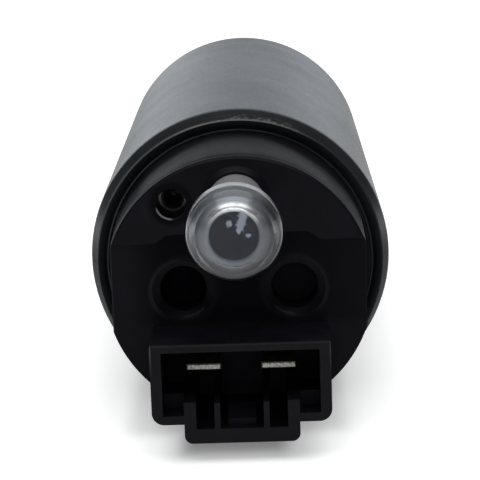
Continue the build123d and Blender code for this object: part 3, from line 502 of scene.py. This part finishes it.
def clear_plastic():
    """Thin, slightly milky plastic with flow lines, scuffs and a few dents in its flat end. Its colour
    carries painted light: painted shade to the right, round the rim's sides and bottom, at two grooves and
    over the bore, a painted highlight over the nose's top, and painted reflections at the dents.
    """
    clear_radius = 3.45
    disc_radius = 2.8
    groove_shade_lines = ((4.12, 0.1), (4.78, 0.07))
    look = Finish("clear_plastic")
    flow = look.noise(0.6, 3.0, 0.5, distortion=0.6)
    scuff = look.noise(7.0, 4.0, 0.7)
    dents_and_reflections = dented(look, look.span(look.y, nipple_tip_y - 0.55, nipple_tip_y - 0.6))
    radius, out = look.about(nipple_axis)
    rim = look.span(radius, 4.4, 4.9)
    disc = look.span(radius, disc_radius + 0.2, disc_radius)
    clear = look.times(look.ease(look.off(radius, clear_radius), 0.8, 0.4), look.ease(out[2], 0.3, 0.7))

    tint_and_painted_light = look.blend(flow, (0.64, 0.67, 0.71), (0.7, 0.725, 0.755))
    # Painted shade, darker towards the right
    tint_and_painted_light = look.blend(look.span(out[0], -0.2, 0.9, 0.0, 0.5), tint_and_painted_light, (0.5, 0.5, 0.52))
    # Painted shade on the rim: darker at its sides, most on the right, and darkest at its bottom
    rim_side_shade = look.blend(look.span(out[0], -0.3, 0.3), (0.28, 0.288, 0.305), (0.14, 0.144, 0.15))
    rim_shade_tint = look.blend(look.ease(look.off(out[0]), 0.5, 0.85), (0.45, 0.46, 0.48), rim_side_shade)
    rim_shade_tint = look.blend(look.ease(out[2], -0.3, -0.9), rim_shade_tint, (0.09, 0.094, 0.105))
    tint_and_painted_light = look.blend(rim, tint_and_painted_light, rim_shade_tint)
    # Painted shade lines at the two grooves
    for groove_radius, half_width in groove_shade_lines:
        groove_shade = look.near(radius, groove_radius, half_width, half_width * 0.3)
        tint_and_painted_light = look.blend(look.times(groove_shade, 0.6), tint_and_painted_light, (0.3, 0.32, 0.36))
    # A painted highlight where the colour is clear over the top of the nose, painted shade over the bore, and
    # painted reflections at the dents
    for mask, paint in ((clear, (0.95, 0.95, 0.95)), (disc, (0.38, 0.425, 0.54)),
                        (dents_and_reflections, (0.42, 0.46, 0.54))):
        tint_and_painted_light = look.blend(mask, tint_and_painted_light, paint)

    milky = look.minus(0.95, look.times(dents_and_reflections, 0.5))
    look.set(Base_Color=tint_and_painted_light, IOR=look.minus(1.36, look.times(disc, 0.06)),
             Transmission_Weight=look.plus(milky, look.times(disc, 0.03)),
             Roughness=look.plus(look.span(scuff, 0.4, 0.75, 0.05, 0.16),
                                 look.span(radius, 4.0, 4.6, 0.0, 0.08)),
             Specular_IOR_Level=look.minus(0.4, look.times(look.most(disc, rim), 0.3)))
    look.bump((dents_and_reflections, 0.03), (flow, 0.02), (scuff, 0.0012))
    through = look.new("BsdfTransparent")
    look.put(through.inputs["Color"], (0.6, 0.64, 0.68))
    in_shadow = look.new("LightPath").outputs["Is Shadow Ray"]
    look.put(look.output.inputs["Surface"], look.mix(in_shadow, look.shader.outputs[0], through.outputs[0]))
    return look.material


def nipple_metal():
    """Plated metal: dull on the stem, smoother on the barb's nose, dark inside the bore, with painted shade
    on the barb's flank away from its top and a painted highlight along the top of the nose.
    """
    ring_radius = 3.4
    look = Finish("nipple_metal")
    radius, out = look.about(nipple_axis)
    marks = look.noise(1.0, 2.0, 0.6, look.rings(nipple_axis, 9.0, 9.0))
    haze = look.noise(0.8, 4.0, 0.6)
    nose = look.span(look.y, nipple_tip_y + 2.4, nipple_tip_y + 1.9)
    stem = look.span(look.y, nipple_tip_y + 5.5, nipple_tip_y + 6.5)
    bore = look.span(radius, nipple_bore + 0.06, nipple_bore + 0.02)
    # Painted shade on the barb's flank, away from its top, and a painted highlight along the top of the nose
    flank = look.times(look.span(radius, 3.8, 4.2), look.ease(out[2], 0.75, 0.45), nose)
    nose_highlight = look.times(look.ease(look.off(radius, ring_radius), 0.44, 0.14), look.ease(out[2], 0.4, 0.75),
                       look.times(nose, look.span(haze, 0.35, 0.5, 0.5, 1.0)))

    colour = look.blend(look.mingle(marks, haze), (0.25, 0.252, 0.256), (0.32, 0.321, 0.324))
    for mask, paint in ((stem, (0.29, 0.292, 0.3)), (flank, (0.1, 0.1, 0.104)), (nose_highlight, (0.62, 0.615, 0.6)),
                        (bore, (0.01, 0.01, 0.0115))):
        colour = look.blend(mask, colour, paint)
    rough = look.minus(look.mingle(marks, haze, 0.46, 0.6), look.times(nose, 0.16))
    rough = look.plus(rough, look.minus(look.times(stem, 0.15), look.times(nose_highlight, 0.15)))
    look.set(Base_Color=colour, Metallic=1.0, Roughness=look.most(rough, look.times(bore, 0.7)))
    look.bump((marks, 0.0015), (haze, 0.002))
    return look.material


def tinned_blade():
    """Rolled tin, torn and lighter where the blade's tip was sheared."""
    look = Finish("tinned_blade")
    stretched = look.join(look.times(look.x, 4.0), look.times(look.y, 0.2), look.times(look.z, 4.0))
    rolled = look.noise(3.0, 3.0, 0.6, stretched)
    torn = look.noise(2.4, 3.0, 0.7, look.join(look.times(look.x, 1.6), 0.0, look.times(look.z, 0.7)))
    bloom = look.noise(0.9, 4.0, 0.6)
    sheared = look.span(look.y, blade_tip_y + 0.22, blade_tip_y + 0.1)
    tin = look.blend(look.span(bloom, 0.35, 0.7), (0.26, 0.25, 0.235), (0.33, 0.32, 0.305))
    tip = look.blend(look.span(torn, 0.38, 0.62), (0.2, 0.195, 0.17), (0.52, 0.51, 0.48))
    look.set(Base_Color=look.blend(sheared, tin, tip), Metallic=1.0,
             Roughness=look.plus(look.mingle(bloom, rolled, 0.26, 0.4), look.times(sheared, 0.2)))
    look.bump((rolled, 0.0004), (look.noise(9.0, 3.0, 0.6), 0.0004))
    return look.material


def sleeve_metal():
    """Dull metal, darker towards the bottom of its ring, where it lies in the shade of the bore."""
    look = Finish("relief_sleeve_metal")
    marks = look.noise(1.0, 2.0, 0.6, look.rings(relief_axis, 9.0, 9.0))
    upper = look.ease(look.about(relief_axis)[1][2], -0.85, 0.25)
    lit = look.blend(marks, (0.17, 0.17, 0.172), (0.23, 0.23, 0.232))
    look.set(Base_Color=look.blend(upper, (0.035, 0.035, 0.036), lit), Metallic=1.0,
             Roughness=look.span(marks, 0.3, 0.7, 0.42, 0.56))
    look.bump((marks, 0.003))
    return look.material


def plain(name, colour, roughness, metallic=0.0, grain=6.0, depth=0.003, spread=0.18):
    """An even material with a fine grain. The spread is how far its colour goes either way."""
    look = Finish(name)
    cloud = look.noise(0.5, 4.0, 0.6)
    fine = look.noise(grain, 3.0, 0.6)
    colours = tone(colour, 1 - spread), tone(colour, 1 + spread)
    look.set(Base_Color=look.blend(look.mingle(cloud, fine), *colours), Metallic=metallic,
             Roughness=look.mingle(cloud, fine, roughness - 0.07, roughness + 0.07))
    look.bump((fine, depth), (cloud, depth))
    return look.material


def turned(name, colour, roughness, pitch, depth):
    """Metal with turning marks round the pump's axis."""
    stain = 0.12
    look = Finish(name)
    marks = look.rings(pump_axis, pitch, pitch)
    fine = look.noise(1.0, 2.0, 0.6, marks)
    wide = look.noise(0.25, 2.0, 0.5, marks)
    haze = look.noise(0.7, 4.0, 0.6)
    stained = look.span(look.plus(wide, haze), 0.75, 1.25)
    colours = tone(colour, 1 - stain), tone(colour, 1 + stain / 3)
    look.set(Base_Color=look.blend(stained, *colours), Metallic=1.0,
             Roughness=look.mingle(fine, haze, *roughness))
    look.bump((wide, depth * 1.5), (fine, depth))
    return look.material


def braid():
    """Copper wires woven crosswise."""
    weave_rate = 26.0
    look = Finish("copper_braid")
    round_lead = look.plus(look.x, look.z)
    one_way = look.math("SINE", look.times(look.plus(round_lead, look.y), weave_rate))
    other_way = look.math("SINE", look.times(look.minus(round_lead, look.y), weave_rate))
    weave = look.most(one_way, other_way)
    dull = look.noise(1.5, 4.0, 0.6)
    bright = look.span(look.plus(weave, dull), 0.0, 1.6)
    look.set(Base_Color=look.blend(bright, (0.42, 0.2, 0.11), (0.76, 0.43, 0.27)), Metallic=1.0,
             Roughness=look.span(dull, 0.3, 0.7, 0.28, 0.46))
    look.bump((look.span(weave, -1.0, 1.0), 0.02))
    return look.material


def laminated():
    """A stack of thin steel sheets."""
    half_sheet = 0.25
    look = Finish("core_steel")
    joint = look.span(look.math("PINGPONG", look.y, half_sheet), 0.0, 0.05)
    stain = look.noise(0.8, 4.0, 0.6)
    steel = look.blend(stain, (0.34, 0.34, 0.35), (0.48, 0.48, 0.49))
    look.set(Base_Color=look.blend(joint, (0.1, 0.1, 0.105), steel), Metallic=1.0,
             Roughness=look.span(stain, 0.3, 0.7, 0.34, 0.5))
    look.bump((joint, 0.02), (look.noise(6.0, 3.0), 0.004))
    return look.material


def wound_wire():
    """Enamelled wire, laid turn by turn."""
    look = Finish("enamelled_wire")
    turns = look.math("SINE", look.times(look.plus(look.times(look.about(pump_axis)[0], 0.9), look.y), 12.0))
    cross = look.math("SINE", look.times(look.noise(0.5, 2.0), 60.0))
    heat = look.noise(0.9, 4.0, 0.6)
    bright = look.span(look.plus(turns, heat), -0.6, 1.4)
    look.set(Base_Color=look.blend(bright, (0.2, 0.06, 0.025), (0.62, 0.24, 0.1)), Metallic=0.7,
             Roughness=0.26, Coat_Weight=0.6)
    look.bump((look.span(turns, -1.0, 1.0), 0.06), (look.span(cross, -1.0, 1.0), 0.02))
    return look.material


def cast_aluminium():
    """Die-cast metal: a fine skin, with turning marks on the faces that are machined."""
    metal = (0.66, 0.67, 0.68)
    dull, bright = tone(metal, 0.82), tone(metal, 1.06)
    look = Finish("cast_aluminium")
    skin = look.noise(2.2, 4.0, 0.65)
    marks = look.noise(1.0, 2.0, 0.6, look.rings(pump_axis, 7.0, 7.0))
    look.set(Base_Color=look.blend(look.mingle(skin, marks), dull, bright), Metallic=1.0,
             Roughness=look.mingle(skin, marks, 0.32, 0.5))
    look.bump((look.span(look.cells(1.6), 0.05, 0.2), 0.006), (skin, 0.008), (marks, 0.003))
    return look.material


def sintered_steel():
    """Pressed and sintered steel, ground on its ends, with small dark pores."""
    look = Finish("sintered_steel")
    pores = look.span(look.cells(6.0), 0.02, 0.22)
    cloud = look.noise(0.7, 4.0, 0.6)
    ground = look.noise(4.0, 3.0, 0.6, look.rings(pump_axis, 3.0, 1.0))
    steel = look.blend(cloud, (0.36, 0.36, 0.37), (0.46, 0.46, 0.47))
    look.set(Base_Color=look.blend(pores, (0.12, 0.12, 0.12), steel), Metallic=1.0,
             Roughness=look.mingle(cloud, ground, 0.3, 0.46))
    look.bump((pores, 0.006), (ground, 0.003))
    return look.material


plain_looks = {
    "rubber_seal": {"colour": (0.02, 0.02, 0.021), "roughness": 0.55, "grain": 8.0},
    "spring_steel": {"colour": (0.5, 0.5, 0.51), "roughness": 0.3, "metallic": 1.0, "grain": 12.0,
                     "depth": 0.002},
    "valve_steel": {"colour": (0.78, 0.78, 0.8), "roughness": 0.12, "metallic": 1.0, "grain": 4.0,
                    "depth": 0.0006, "spread": 0.05},
    "valve_plastic": {"colour": (0.05, 0.052, 0.06), "roughness": 0.42, "grain": 7.0, "spread": 0.06},
    "carbon": {"colour": (0.055, 0.055, 0.06), "roughness": 0.4, "metallic": 0.3, "grain": 9.0,
               "depth": 0.006, "spread": 0.35},
    "flux_steel": {"colour": (0.38, 0.38, 0.39), "roughness": 0.36, "metallic": 1.0, "grain": 3.0,
                   "spread": 0.15},
    "ferrite": {"colour": (0.075, 0.075, 0.082), "roughness": 0.5, "grain": 7.0,
                "depth": 0.004, "spread": 0.25},
    "hub_moulding": {"colour": (0.2, 0.085, 0.035), "roughness": 0.4, "grain": 8.0, "spread": 0.2},
    "bush_bronze": {"colour": (0.58, 0.4, 0.2), "roughness": 0.38, "metallic": 1.0, "grain": 9.0,
                    "depth": 0.008, "spread": 0.2},
    "washer_plastic": {"colour": (0.82, 0.8, 0.72), "roughness": 0.45, "spread": 0.05},
}

# One finish for each of the record's material slots
slot_finishes = {
    "coated_steel": coated_steel(),
    "black_moulding": black_moulding(),
    "turned_metal": nipple_metal(),
    "clear_plastic": clear_plastic(),
    "tinned_blade": tinned_blade(),
    "copper_braid": braid(),
    "copper": turned("copper", (0.78, 0.44, 0.27), roughness=(0.18, 0.32), pitch=8.0, depth=0.003),
    "enamelled_wire": wound_wire(),
    "core_steel": laminated(),
    "shaft_steel": turned("shaft_steel", (0.6, 0.6, 0.61), roughness=(0.14, 0.24), pitch=14.0, depth=0.0012),
    "sintered_steel": sintered_steel(),
    "cast_aluminium": cast_aluminium(),
    **{name: plain(name, **settings) for name, settings in plain_looks.items()},
}

# Nodes with a finish of their own, since its marks follow their axis
own_finishes = {"relief_valve_sleeve": sleeve_metal()}


def dress():
    """Gives each node its finish."""
    for name, node in nodes.items():
        node.data.materials.clear()
        node.data.materials.append(own_finishes.get(name) or slot_finishes[slots[name]])


def flex_with_joints():
    """Stands a piece in for each spring and brush lead that a joint deforms, carried by the joint's parent,
    in place of the original.
    """
    for joint in frame["joints"]:
        for flexing in joint.get("deforming_nodes", []):
            name = flexing["node"]
            piece = bpy.data.objects.new(name + "_flexing", nodes[name].data.copy())
            bpy.context.scene.collection.objects.link(piece)
            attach(piece, joint["parent"])
            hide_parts(name)
            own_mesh(piece)


white = (1.0, 1.0, 1.0)


def add_world():
    """White to the camera. To the pump, a studio bright behind and at the sides, and dark in front."""
    world = bpy.data.worlds.new("studio")
    bpy.context.scene.world = world
    graph = Graph(world)
    # The parts of a ray's direction, each from -1 to 1
    x, y, z = graph.parts(graph.new("TexCoord").outputs["Generated"])
    lobes = graph.plus(graph.plus(graph.ease(x, 0.0, -0.35, 0.9), graph.ease(x, 0.0, 0.35, 0.4)), 1.0)
    behind = graph.times(graph.ease(y, 0.8, 0.97, 0.78), lobes)
    above = graph.ease(z, 0.2, 0.8, 0.06)
    left = graph.ease(x, -0.7, -0.97, 0.2)
    right = graph.ease(x, 0.7, 0.97, 0.09)
    all_round = 0.04
    strength = graph.plus(graph.plus(graph.plus(behind, above), graph.plus(left, right)), all_round)
    room = graph.light("Background", (0.937, 1.0, 1.06), strength)
    backdrop = graph.light("Background", white, 1.0)
    seen = graph.new("LightPath").outputs["Is Camera Ray"]
    graph.put(graph.new("OutputWorld").inputs["Surface"], graph.mix(seen, room, backdrop))


def add_lamp(name, place, aim, size, power):
    data = bpy.data.lights.new(name, "AREA")
    data.shape = "RECTANGLE"
    data.size, data.size_y = size
    data.energy = power
    lamp = bpy.data.objects.new(name, data)
    bpy.context.scene.collection.objects.link(lamp)
    lamp.location = place
    lamp.rotation_euler = (Vector(aim) - Vector(place)).to_track_quat("-Z", "Y").to_euler()


def floor_paper():
    """Pale paper with a glow that makes it white to the camera, and less of it under the pump, as a painted
    shadow.
    """
    glow = 0.45
    shadow_middle_x = -0.001
    mouth_shadow_half = 0.0048
    shell_shadow_half = 0.0125
    mirrored_share = 0.142
    material = bpy.data.materials.new("studio_floor")
    graph = Graph(material)
    x, y, z = graph.parts(graph.new("TexCoord").outputs["Object"])
    aside = graph.off(x, shadow_middle_x)
    painted_mouth_shadow = graph.times(graph.ease(aside, mouth_shadow_half + 0.0035, mouth_shadow_half, 0.29),
                              graph.ease(y, mouth + 0.0009, mouth + 0.0059))
    painted_shell_shadow = graph.times(graph.ease(aside, shell_shadow_half + 0.003, shell_shadow_half, 0.13),
                              graph.ease(y, cap_face + 0.0005, cap_face + 0.0055))
    ahead = graph.ease(y, back_edge, back_edge / 3)
    # The glow, weaker under the pump, paints the pump's shadow
    strength = graph.minus(glow, graph.times(graph.most(painted_mouth_shadow, painted_shell_shadow), ahead))
    path = graph.new("LightPath").outputs
    mirrored = graph.times(graph.most(path["Is Glossy Ray"], path["Is Transmission Ray"]), mirrored_share)
    lift = graph.mix(graph.most(path["Is Camera Ray"], mirrored), graph.light("Emission", white, 0.0),
                     graph.light("Emission", white, strength))
    paper = graph.new("BsdfDiffuse")
    graph.put(paper.inputs["Color"], (0.9, 0.9, 0.9))
    both = graph.new("AddShader")
    graph.put(both.inputs[0], paper.outputs[0])
    graph.put(both.inputs[1], lift)
    graph.put(graph.new("OutputMaterial").inputs["Surface"], both.outputs[0])
    return material


def add_floor():
    reach = 1.5
    level = -shell_radius
    corners = [(-reach, -reach, level), (reach, -reach, level), (reach, reach, level), (-reach, reach, level)]
    mesh = bpy.data.meshes.new("floor")
    mesh.from_pydata(corners, [], [(0, 1, 2, 3)])
    floor = bpy.data.objects.new("floor", mesh)
    bpy.context.scene.collection.objects.link(floor)
    floor.data.materials.append(floor_paper())


add_camera()
add_world()
add_floor()
add_lamp("overhead", place=(0.0, -0.2, 1.0), aim=(0.0, -0.05, 0.0), size=(1.2, 1.1), power=12.5)
add_lamp("front_low", place=(0.02, -0.62, 0.18), aim=(0.0, -0.07, 0.01), size=(0.36, 0.12), power=0.75)
dress()
flex_with_joints()

bpy.context.scene.view_settings.view_transform = "Standard"
